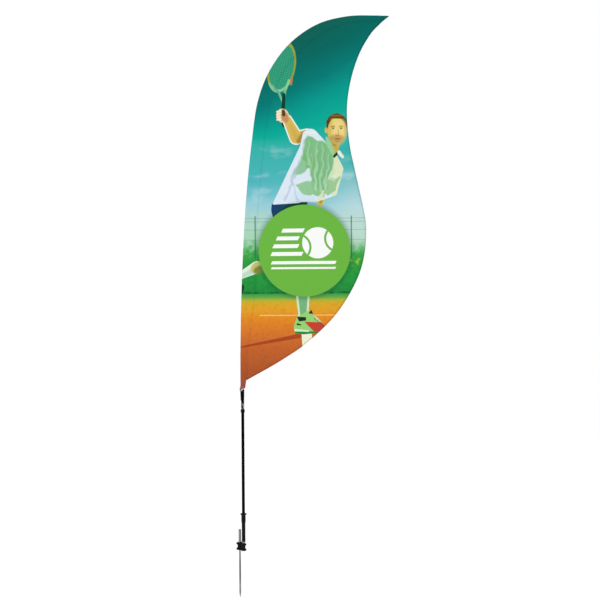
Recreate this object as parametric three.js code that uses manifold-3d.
// Feather flag on a plug-together pole that turns in a socket on a ground stake.
// Millimetres, +Z up. The origin is on the axis that the pole turns about, at the underside of the hub,
// which is ground level. The flag lies in the XZ plane and reaches towards +X; its front faces -Y.

import * as THREE from 'three';
import { mergeVertices } from 'three/addons/utils/BufferGeometryUtils.js';
import Module from 'manifold-3d';

const wasm = await Module();
wasm.setup();

// ---------------------------------------------------------------- driving dimensions

const GAP = 0.3; // between two pieces that touch
const ROUND = 24; // sides of a turned piece
const TUBE_SIDES = 10; // sides of a pole section

// Ground stake, behind and to the left of the turning axis.
const STAKE = { x: -21, y: 21, radius: 4.8, tip: -249, point: 25, top: 98 };
const DRIVING_HEAD = { radius: 6.5, bottom: 42.3, top: 102.5 };

// Hub: two flanged bosses joined by a web.
const HUB = { flange: 6, height: 33, neck: 5, web: 11, webInset: 2 };
const STAKE_BOSS = { flange: 18.3, waist: 12.2, neck: 9.5 };
const PIN_BOSS = { flange: 14, waist: 9, neck: 8 };
const NECK_TOP = HUB.height + HUB.neck;

// Spindle that the socket turns on.
const PIN = { radius: 5, bottom: 4, top: 108, grooveRadius: 4.2, groove: 101.3, grooveWidth: 1.8 };
const NUT = { corner: 8.4, height: 6.7 };
const WASHER = { radius: 9, thickness: 3.4 };
const OPEN_CLIP = { radius: 6.8, thickness: 1.2, opening: 0.6 }; // opening is half the gap's angle

// Turning socket. The bore for the bushes ends at the seat, where the wider bore for the pole starts.
const SOCKET = { bottom: 50, flange: 3, seat: 117.7, top: 178, radius: 9.3, mouth: 11.3, cone: [137, 149] };
const BORE = { bush: 7.3, pole: 8.05 };
const BUSH = { flange: 9.8, length: 22, upper: [84, 100] };
const COLLAR = { top: 192, radius: 16.5 };

// Pole: four sections that plug into each other. s is the length along the pole above the first joint.
const FIRST_JOINT = 826; // height of the first joint
const STRAIGHT_TO = 1000; // height at which the pole starts to bend
const BEND = [ // x and z of the bent pole's centreline
	[0, 1000], [4, 1220], [14, 1480], [34, 1800], [62, 2080], [98, 2310],
	[160, 2465], [258, 2597], [402, 2696], [560, 2735], [700, 2737], [755, 2736],
];
const STEP = 40; // spacing of the stations along the pole
const SECTION = { joint2: 800, joint3: 1600, tip: 2300, plug: 80 };
const RADII = { one: [7.7, 6.5], two: [6.2, 5.2], three: [4.9, 3.9], four: [3.6, 2.4] };
const FERRULE = { length: 40, wall: 0.6, lip: 3, stop: 8, ease: 0.4 }; // ease is its gap round the pole
const END_PLUG = { rim: 3, depth: 22.5, chamfer: 1.5 };
const TIP_CAP = { radius: 3.4, end: 2, length: 12 };

// Flag: a sleeve round the pole, and a panel of front print, liner and back print.
const SLEEVE = { start: 7, end: 2322, slack: 0.7, wall: 1.1, tail: 29, wide: 60, tip: 22, flat: 2 };
const ARC_STEPS = 8; // sides of the sleeve's round part
const CORE = { radii: [8.6, 7.3, 6.0, 3.9], first: [20, 500], second: [800, 1400], third: [1610, 1800] };
const SLEEVE_GROWS = [130, 470]; // where the sleeve widens from tail to wide
const SLEEVE_SHRINKS = [1800, 2322]; // where it narrows to tip
const FREE_EDGE = [ // x and z, from the tip of the flag down to its tail
	[766, 2740], [714, 2696], [666, 2644], [604, 2536], [558, 2390], [542, 2240], [560, 2060],
	[606, 1850], [641, 1650], [608, 1439], [498, 1234], [350, 1080], [204, 977], [18, 872],
];
const EDGE_STEPS = 48;
const HEM = { width: 8, thickness: 4 };
const LAYER = { print: 1, liner: 0.8, pitch: 1.5 };
const PANEL_START = 58; // s at which the panel's tail meets the sleeve
const TAIL_X = 19.4; // where the free edge meets the sleeve's seam
const PATCH_X = 722; // the tip patch reaches from here to the flag's tip
const PATCH = { outline: [[PATCH_X, 2741.5], [760, 2741], [766, 2739], [PATCH_X, 2703]], halfThickness: 2.5 };

// Tension tackle that holds the flag down on the pole.
const WEBBING = { y: -12.6, thickness: 2.4,
	outline: [[-15, 819], [-4, 819.5], [8, 831], [8, 846], [-12, 846], [-15, 834]] };
const EYELET = { x: -9.5, z: 826, radius: 3.8 };
const CORD = { radius: 2, route: [ // from the front of the eyelet down to the link
	[-9.5, -17, 826.2], [-9.5, -13.8, 826.2], [-9.5, -10.8, 824.6], [-9.2, -9.3, 817], [-8.6, -8.4, 806],
	[-8.3, -8, 790], [-7.6, -8.4, 776], [-4.8, -11, 767], [-1.5, -13.6, 758.4]] };
const LINK = { x: -1.3, y: -14, z: 742, halfWidth: 7, halfHeight: 15, wire: 3 };
const HOOK_WIDTH = 4;
const CLIP = { bore: 9, radius: 11.2, bottom: 709, height: 14, slot: 5 };

// ---------------------------------------------------------------- colours

const FINISH = {
	zinc: { color: 0x9a9c9e, roughness: 0.35, metalness: 0.9 },
	steel: { color: 0xb4b6b8, roughness: 0.25, metalness: 0.95 },
	plastic: { color: 0x17171a, roughness: 0.5, metalness: 0 },
	nylon: { color: 0xd8d6cf, roughness: 0.6, metalness: 0 },
	pole: { color: 0x0c0c0e, roughness: 0.35, metalness: 0.1 },
	print: { color: 0x2f9c8e, roughness: 0.8, metalness: 0 },
	liner: { color: 0x2b2d30, roughness: 0.9, metalness: 0 },
	webbing: { color: 0xd9d6d0, roughness: 0.9, metalness: 0 },
	cord: { color: 0x101012, roughness: 0.85, metalness: 0 },
};

// ---------------------------------------------------------------- helpers

const assembly = new THREE.Group();

function add(name, geometry, finish) {
	const mesh = new THREE.Mesh(geometry, new THREE.MeshStandardMaterial(FINISH[finish]));
	mesh.name = name;
	assembly.add(mesh);
	return mesh;
}

// A turned piece about Z from (radius, height) pairs that run up its outside.
function turned(profile, sides = ROUND) {
	const points = profile.map(([r, z]) => new THREE.Vector2(r, z));
	return new THREE.LatheGeometry(points, sides).rotateX(Math.PI / 2);
}

// A turned ring with a plain bore.
function ring(bore, outside) {
	const [low, high] = [outside[0][1], outside[outside.length - 1][1]];
	return turned([[bore, low], ...outside, [bore, high], [bore, low]]);
}

function circle(radius, sides) {
	return Array.from({ length: sides }, (_, i) => {
		const turn = (2 * Math.PI * i) / sides;
		return [radius * Math.cos(turn), radius * Math.sin(turn)];
	});
}

// A flat piece in the XZ plane, from y0 to y1.
function plate(shape, y0, y1) {
	const solid = new THREE.ExtrudeGeometry(shape, { depth: y1 - y0, bevelEnabled: false, curveSegments: 10 });
	return solid.rotateX(Math.PI / 2).translate(0, y1, 0);
}

function shapeOf(points) {
	return new THREE.Shape(points.map(([x, z]) => new THREE.Vector2(x, z)));
}

function toSolid(geometry) {
	const bare = geometry.clone();
	bare.deleteAttribute('normal');
	bare.deleteAttribute('uv');
	const merged = mergeVertices(bare, 1e-4);
	return new wasm.Manifold(new wasm.Mesh({
		numProp: 3,
		vertProperties: merged.attributes.position.array,
		triVerts: new Uint32Array(merged.index.array),
	}));
}

function toGeometry(solid) {
	const { vertProperties, triVerts } = solid.getMesh();
	const geometry = new THREE.BufferGeometry();
	geometry.setAttribute('position', new THREE.BufferAttribute(new Float32Array(vertProperties), 3));
	geometry.setIndex(new THREE.BufferAttribute(new Uint32Array(triVerts), 1));
	return geometry;
}

// Skin from one outline to the next along the stations, open through the middle where hole is given.
function sweep(stations, outline, hole = null) {
	const positions = [];
	const faces = [];
	const loops = [outline, hole].filter(Boolean).map((loop) => stations.map((station) => {
		const first = positions.length / 3;
		const points = loop(station);
		for (const [a, b] of points) {
			const p = station.centre.clone().addScaledVector(station.across, a);
			positions.push(p.x, p.y + b, p.z);
		}
		return { first, count: points.length };
	}));
	const quad = (a, b, c, d) => faces.push(a, b, c, a, c, d);
	loops.forEach((rings, isHole) => {
		for (let k = 0; k + 1 < rings.length; k++) {
			const { first: low, count } = rings[k];
			const high = rings[k + 1].first;
			for (let i = 0; i < count; i++) {
				const j = (i + 1) % count;
				if (isHole) quad(low + i, high + i, high + j, low + j);
				else quad(low + i, low + j, high + j, high + i);
			}
		}
	});
	for (const end of [0, stations.length - 1]) {
		const outer = loops[0][end];
		for (let i = 0; i < outer.count; i++) {
			const j = (i + 1) % outer.count;
			if (hole) {
				const inner = loops[1][end].first;
				if (end === 0) quad(outer.first + i, inner + i, inner + j, outer.first + j);
				else quad(outer.first + i, outer.first + j, inner + j, inner + i);
			} else if (i > 0 && j > 0) {
				if (end === 0) faces.push(outer.first, outer.first + j, outer.first + i);
				else faces.push(outer.first, outer.first + i, outer.first + j);
			}
		}
	}
	const geometry = new THREE.BufferGeometry();
	geometry.setAttribute('position', new THREE.Float32BufferAttribute(positions, 3));
	geometry.setIndex(faces);
	return geometry;
}

const smooth = (x, [from, to]) => THREE.MathUtils.smoothstep(x, from, to);

// ---------------------------------------------------------------- the pole's line

const bend = new THREE.CatmullRomCurve3(BEND.map(([x, z]) => new THREE.Vector3(x, 0, z)));
bend.arcLengthDivisions = 2000;
const STRAIGHT = STRAIGHT_TO - FIRST_JOINT;
const BEND_LENGTH = bend.getLength();

// The station at length s, on a multiple of STEP: its centre, and the way across to the panel.
function trueStation(s) {
	if (s <= STRAIGHT) {
		return { s, centre: new THREE.Vector3(0, 0, FIRST_JOINT + s), across: new THREE.Vector3(1, 0, 0) };
	}
	const share = Math.min(1, (s - STRAIGHT) / BEND_LENGTH);
	const along = bend.getTangentAt(share);
	return { s, centre: bend.getPointAt(share), across: new THREE.Vector3(along.z, 0, -along.x) };
}

// Between stations everything runs straight, so nested tubes keep their gaps.
function station(s) {
	const low = trueStation(Math.floor(s / STEP) * STEP);
	const high = trueStation((Math.floor(s / STEP) + 1) * STEP);
	const share = s / STEP - Math.floor(s / STEP);
	return { s, centre: low.centre.lerp(high.centre, share), across: low.across.lerp(high.across, share) };
}

function stations(from, to) {
	const found = [station(from)];
	for (let s = (Math.floor(from / STEP) + 1) * STEP; s < to; s += STEP) found.push(station(s));
	found.push(station(to));
	return found;
}

function tube(from, to, outer, inner) {
	return sweep(stations(from, to), () => circle(outer, TUBE_SIDES), () => circle(inner, TUBE_SIDES));
}

// ---------------------------------------------------------------- ground base

function groundBase() {
	const { x, y, radius, tip, point, top } = STAKE;
	const atStake = (geometry) => geometry.translate(x, y, 0);
	add('ground_stake', atStake(turned([[0, tip], [1, tip + 2], [radius, tip + point], [radius, top - 1],
		[radius - 1, top], [0, top]])), 'zinc');
	const head = DRIVING_HEAD;
	const bore = radius + GAP;
	add('driving_head', atStake(turned([[0, top + GAP], [bore, top + GAP], [bore, head.bottom],
		[bore + 0.6, head.bottom], [head.radius, head.bottom + 4], [head.radius, head.top - 2],
		[head.radius - 2, head.top], [0, head.top]])), 'zinc');
	add('stake_washer', atStake(ring(bore, [[WASHER.radius, NECK_TOP + GAP],
		[WASHER.radius, NECK_TOP + GAP + WASHER.thickness]])), 'steel');

	add('hub', hub(), 'plastic');

	const { groove, grooveWidth, grooveRadius } = PIN;
	add('spindle_pin', turned([[0, PIN.bottom + GAP], [PIN.radius, PIN.bottom + GAP], [PIN.radius, groove],
		[grooveRadius, groove], [grooveRadius, groove + grooveWidth], [PIN.radius, groove + grooveWidth],
		[PIN.radius, PIN.top - 1.5], [PIN.radius - 1.5, PIN.top], [0, PIN.top]]), 'steel');
	add('spindle_nut', hexNut(), 'zinc');
	const washer = NECK_TOP + GAP + NUT.height + GAP;
	add('thrust_washer', ring(PIN.radius + GAP, [[WASHER.radius, washer],
		[WASHER.radius, SOCKET.bottom - GAP]]), 'nylon');
	add('retaining_clip', openClip(), 'steel');
}

function hub() {
	const boss = ({ flange, waist, neck }) => turned([[0, 0], [flange - 1, 0], [flange, 1], [flange, HUB.flange - 1],
		[flange - 1, HUB.flange], [waist, HUB.flange + 3], [waist, HUB.height - HUB.flange - 3],
		[flange - 1, HUB.height - HUB.flange], [flange, HUB.height - HUB.flange + 1], [flange, HUB.height - 1],
		[flange - 1, HUB.height], [neck, HUB.height + 1], [neck, NECK_TOP], [0, NECK_TOP]]);
	const stakeBoss = boss(STAKE_BOSS).translate(STAKE.x, STAKE.y, 0);
	const pinBoss = boss(PIN_BOSS);
	const apart = Math.hypot(STAKE.x, STAKE.y);
	const web = new THREE.BoxGeometry(apart, HUB.web, HUB.height - 2 * HUB.webInset)
		.translate(apart / 2, 0, HUB.height / 2)
		.rotateZ(Math.atan2(STAKE.y, STAKE.x));
	const stakeBore = turned([[0, -1], [STAKE.radius + GAP, -1], [STAKE.radius + GAP, NECK_TOP + 1],
		[0, NECK_TOP + 1]]).translate(STAKE.x, STAKE.y, 0);
	const pinBore = turned([[0, PIN.bottom], [PIN.radius + GAP, PIN.bottom], [PIN.radius + GAP, NECK_TOP + 1],
		[0, NECK_TOP + 1]]);
	return toGeometry(toSolid(stakeBoss).add(toSolid(pinBoss)).add(toSolid(web))
		.subtract(toSolid(stakeBore)).subtract(toSolid(pinBore)));
}

function hexNut() {
	const hexagon = shapeOf(circle(NUT.corner, 6));
	hexagon.holes.push(new THREE.Path(circle(PIN.radius + GAP, ROUND).map(([a, b]) => new THREE.Vector2(a, b))));
	return new THREE.ExtrudeGeometry(hexagon, { depth: NUT.height, bevelEnabled: false })
		.translate(0, 0, NECK_TOP + GAP);
}

function openClip() {
	const inner = PIN.grooveRadius + GAP;
	const { radius, thickness, opening } = OPEN_CLIP;
	const shape = new THREE.Shape();
	shape.absarc(0, 0, radius, opening, 2 * Math.PI - opening, false);
	shape.absarc(0, 0, inner, 2 * Math.PI - opening, opening, true);
	return new THREE.ExtrudeGeometry(shape, { depth: thickness, bevelEnabled: false, curveSegments: 20 })
		.translate(0, 0, PIN.groove + GAP);
}

// ---------------------------------------------------------------- turning socket

function turningSocket() {
	const { bottom, flange, seat, top, radius, mouth, cone } = SOCKET;
	const [bore, wall, wide] = [PIN.radius + GAP, BORE.bush - GAP, BUSH.flange];
	add('lower_bush', ring(bore, [[wide - 0.4, bottom], [wide, bottom + 0.5], [wide, bottom + flange - 0.5],
		[wide - 0.4, bottom + flange], [wall, bottom + flange], [wall, bottom + BUSH.length]]), 'nylon');
	add('upper_bush', ring(bore, BUSH.upper.map((z) => [wall, z])), 'nylon');
	const foot = bottom + flange + GAP;
	add('socket_tube', turned([[BORE.bush, foot], [radius + 0.5, foot], [radius + 0.5, foot + 4],
		[radius, foot + 6], [radius, cone[0]], [mouth, cone[1]], [mouth, top - 2], [mouth - 1, top],
		[BORE.pole, top], [BORE.pole, seat], [BORE.bush, seat], [BORE.bush, foot]]), 'plastic');
	const low = top + GAP;
	add('socket_collar', ring(BORE.pole, [[mouth - 1, low], [mouth, low + 1.5], [mouth + 0.6, low + 4.5],
		[COLLAR.radius - 0.8, low + 6.4], [COLLAR.radius, low + 7.4], [COLLAR.radius, low + 9],
		[COLLAR.radius - 0.8, low + 9.8], [11.4, low + 11], [9.4, COLLAR.top]]), 'plastic');
}

// ---------------------------------------------------------------- pole

function lowerPole() {
	const [outer, inner] = RADII.one;
	const seat = SOCKET.seat + GAP;
	const { rim, depth, chamfer } = END_PLUG;
	add('pole_end_plug', turned([[0, seat], [outer - 1, seat], [outer, seat + 1], [outer, seat + rim],
		[inner - GAP, seat + rim], [inner - GAP, seat + depth - chamfer], [inner - chamfer, seat + depth],
		[0, seat + depth]]), 'plastic');
	add('pole_section_1', ring(inner, [[outer, seat + rim + GAP], [outer, FIRST_JOINT]]), 'pole');
	const wide = outer + GAP + FERRULE.wall;
	const lip = RADII.two[0] + GAP;
	const low = FIRST_JOINT - FERRULE.length;
	const top = FIRST_JOINT + GAP + FERRULE.lip;
	add('ferrule_1', turned([[outer + GAP, low], [wide - 0.3, low], [wide, low + 1], [wide, top - 1],
		[wide - 0.6, top], [lip, top], [lip, FIRST_JOINT + GAP], [outer + GAP, FIRST_JOINT + GAP],
		[outer + GAP, low]]), 'pole');
}

function upperPole() {
	const { joint2, joint3, tip, plug } = SECTION;
	const stopOne = FERRULE.lip + 2 * GAP;
	const wide = RADII.one[0] + GAP + FERRULE.wall;
	add('stop_ring_1', tube(stopOne, stopOne + FERRULE.stop, wide, RADII.two[0] + FERRULE.ease), 'plastic');
	add('pole_section_2', tube(-plug, joint2, ...RADII.two), 'pole');
	add('pole_section_3', tube(joint2 - plug, joint3, ...RADII.three), 'pole');
	add('pole_section_4', tipSection(joint3 - plug, tip), 'pole');
	for (const [name, joint, lower, upper] of [['2', joint2, RADII.two, RADII.three],
		['3', joint3, RADII.three, RADII.four]]) {
		const bore = lower[0] + FERRULE.ease;
		add(`ferrule_${name}`, tube(joint - FERRULE.length, joint, bore + FERRULE.wall, bore), 'pole');
		const ring = tube(joint + GAP, joint + FERRULE.stop, lower[0], upper[0] + FERRULE.ease);
		add(`stop_ring_${name}`, ring, 'plastic');
	}
	const { radius, end, length } = TIP_CAP;
	const cap = stations(tip + GAP, tip + length);
	add('tip_cap', sweep(cap, ({ s }) => circle(s > tip + length - 1 ? end : radius, TUBE_SIDES)), 'plastic');
}

// The last section is a solid rod that tapers to the tip.
function tipSection(from, to) {
	const [thick, thin] = RADII.four;
	return sweep(stations(from, to), ({ s }) => {
		const share = THREE.MathUtils.clamp((s - SECTION.joint3 - FERRULE.stop) / (to - SECTION.joint3), 0, 1);
		return circle(THREE.MathUtils.lerp(thick, thin, share), TUBE_SIDES);
	});
}

// ---------------------------------------------------------------- flag

// The radius of what the sleeve has to clear: the joints' rings, and less where the pole is thinner.
function coreRadius(s) {
	const [first, second, third, last] = CORE.radii;
	const lerp = THREE.MathUtils.lerp;
	return lerp(lerp(lerp(first, second, smooth(s, CORE.first)), third, smooth(s, CORE.second)), last,
		smooth(s, CORE.third));
}

function sleeveWidth(s) {
	const lower = THREE.MathUtils.lerp(SLEEVE.tail, SLEEVE.wide, smooth(s, SLEEVE_GROWS));
	return THREE.MathUtils.lerp(lower, SLEEVE.tip, smooth(s, SLEEVE_SHRINKS));
}

// How far the sleeve's two sides reach from the pole's centre: to its outer edge, and to its seam.
const reachOut = (s) => coreRadius(s) + SLEEVE.slack + SLEEVE.wall;
const reachIn = (s) => sleeveWidth(s) - reachOut(s);

// A drop-shaped loop: round over the pole, and straight from there to the seam.
function drop(radius, reach, halfThickness) {
	const half = Math.PI - Math.acos(Math.min(0.95, radius / reach));
	const arc = Array.from({ length: ARC_STEPS + 1 }, (_, i) => {
		const turn = Math.PI - half + (2 * half * i) / ARC_STEPS;
		return [radius * Math.cos(turn), radius * Math.sin(turn)];
	});
	return [...arc, [reach, -halfThickness], [reach, halfThickness]];
}

function seamPoint(s, beyond) {
	const { centre, across } = station(s);
	return [centre.x + across.x * (reachIn(s) + beyond), centre.z + across.z * (reachIn(s) + beyond)];
}

// The free edge moved in towards the panel by the given distance, from the tip down.
function freeEdge(inset) {
	const curve = new THREE.SplineCurve(FREE_EDGE.map(([x, z]) => new THREE.Vector2(x, z)));
	return Array.from({ length: EDGE_STEPS + 1 }, (_, i) => {
		const share = i / EDGE_STEPS;
		const along = curve.getTangentAt(share);
		const p = curve.getPointAt(share);
		return [p.x + along.y * inset, p.y - along.x * inset];
	});
}

// The stretch of a line of points that lies between two values of x, cut off exactly there.
function between(points, low, high) {
	const kept = [];
	points.forEach((point, i) => {
		const before = points[i - 1] ?? point;
		for (const limit of [high, low]) {
			if ((before[0] - limit) * (point[0] - limit) < 0) {
				const share = (limit - before[0]) / (point[0] - before[0]);
				kept.push([limit, THREE.MathUtils.lerp(before[1], point[1], share)]);
			}
		}
		if (point[0] >= low && point[0] <= high) kept.push(point);
	});
	return kept;
}

function panelShape() {
	const seam = [];
	for (let s = PANEL_START; s < SLEEVE.end; s += STEP) seam.push(seamPoint(s, 0.4));
	seam.push(seamPoint(SLEEVE.end, 0.4));
	const reach = PATCH_X - 1;
	return shapeOf([...between(seam, -Infinity, reach), ...between(freeEdge(HEM.width + 0.4), TAIL_X, reach)]);
}

function hemShape() {
	const reach = PATCH_X - GAP;
	return shapeOf([...between(freeEdge(0), TAIL_X, reach),
		...between(freeEdge(HEM.width), TAIL_X, reach).reverse()]);
}

function flag() {
	const loop = ({ s }) => drop(reachOut(s), reachIn(s), SLEEVE.flat);
	const hollow = ({ s }) => drop(reachOut(s) - SLEEVE.wall, reachIn(s) - 5, SLEEVE.flat - SLEEVE.wall);
	add('pole_sleeve', sweep(stations(SLEEVE.start, SLEEVE.end), loop, hollow), 'print');

	const panel = panelShape();
	const { print, liner, pitch } = LAYER;
	add('flag_front_panel', plate(panel, -pitch - print / 2, -pitch + print / 2), 'print');
	add('blockout_liner', plate(panel, -liner / 2, liner / 2), 'liner');
	add('flag_back_panel', plate(panel, pitch - print / 2, pitch + print / 2), 'print');
	add('edge_hem', plate(hemShape(), -HEM.thickness / 2, HEM.thickness / 2), 'print');
	add('tip_patch', plate(shapeOf(PATCH.outline), -PATCH.halfThickness, PATCH.halfThickness), 'print');
}

// ---------------------------------------------------------------- tension tackle

function tailWebbing() {
	const tab = shapeOf(WEBBING.outline);
	const eyelet = new THREE.Path();
	eyelet.absarc(EYELET.x, EYELET.z, EYELET.radius, 0, 2 * Math.PI, true);
	tab.holes.push(eyelet);
	add('tail_webbing', plate(tab, WEBBING.y - WEBBING.thickness, WEBBING.y), 'webbing');
}

function tensionCord() {
	const path = new THREE.CatmullRomCurve3(CORD.route.map((p) => new THREE.Vector3(...p)));
	add('tension_cord', new THREE.ExtrudeGeometry(shapeOf(circle(CORD.radius, 8)),
		{ steps: 16, bevelEnabled: false, extrudePath: path }), 'cord');
}

function tensionClip() {
	const { x, y, z, halfWidth, halfHeight, wire } = LINK;
	const oval = (grow, shape) => {
		const r = halfWidth - grow;
		shape.absarc(x, z + halfHeight - halfWidth, r, 0, Math.PI, false);
		shape.absarc(x, z - halfHeight + halfWidth, r, Math.PI, 2 * Math.PI, false);
		return shape;
	};
	const link = oval(0, new THREE.Shape());
	link.holes.push(oval(wire, new THREE.Path()));
	add('tension_link', plate(link, y - wire / 2, y + wire / 2), 'steel');

	const { bore, radius, bottom, height, slot } = CLIP;
	const top = bottom + height;
	const band = ring(bore, [[radius - 0.6, bottom], [radius, bottom + 1], [radius, top - 1],
		[radius - 0.6, top]]);
	const opening = new THREE.BoxGeometry(slot, 8, height + 4).translate(0, bore + 1.5, bottom + height / 2);
	// The hook rises behind the link, passes through it above its lower bar, and turns down in front.
	const bar = z - halfHeight + wire + 3 * GAP;
	const hook = new THREE.Shape([[radius - 1, bottom + 3], [radius - 1, bar + 4], [-y + 5, bar + 4],
		[-y + 5, bar - 4.5], [-y + wire / 2 + 0.6, bar - 4.5], [-y + wire / 2 + 0.6, bar],
		[-y - wire / 2 - 0.35, bar], [-y - wire / 2 - 0.35, bar - 5.5], [radius + 1.2, bottom + 3]]
		.map(([out, up]) => new THREE.Vector2(out, up)));
	const arm = new THREE.ExtrudeGeometry(hook, { depth: HOOK_WIDTH, bevelEnabled: false })
		.rotateX(Math.PI / 2).rotateZ(-Math.PI / 2).translate(x + HOOK_WIDTH / 2, 0, 0);
	add('pole_clip', toGeometry(toSolid(band).subtract(toSolid(opening)).add(toSolid(arm))), 'plastic');
}

groundBase();
turningSocket();
lowerPole();
upperPole();
flag();
tailWebbing();
tensionCord();
tensionClip();

export default assembly;
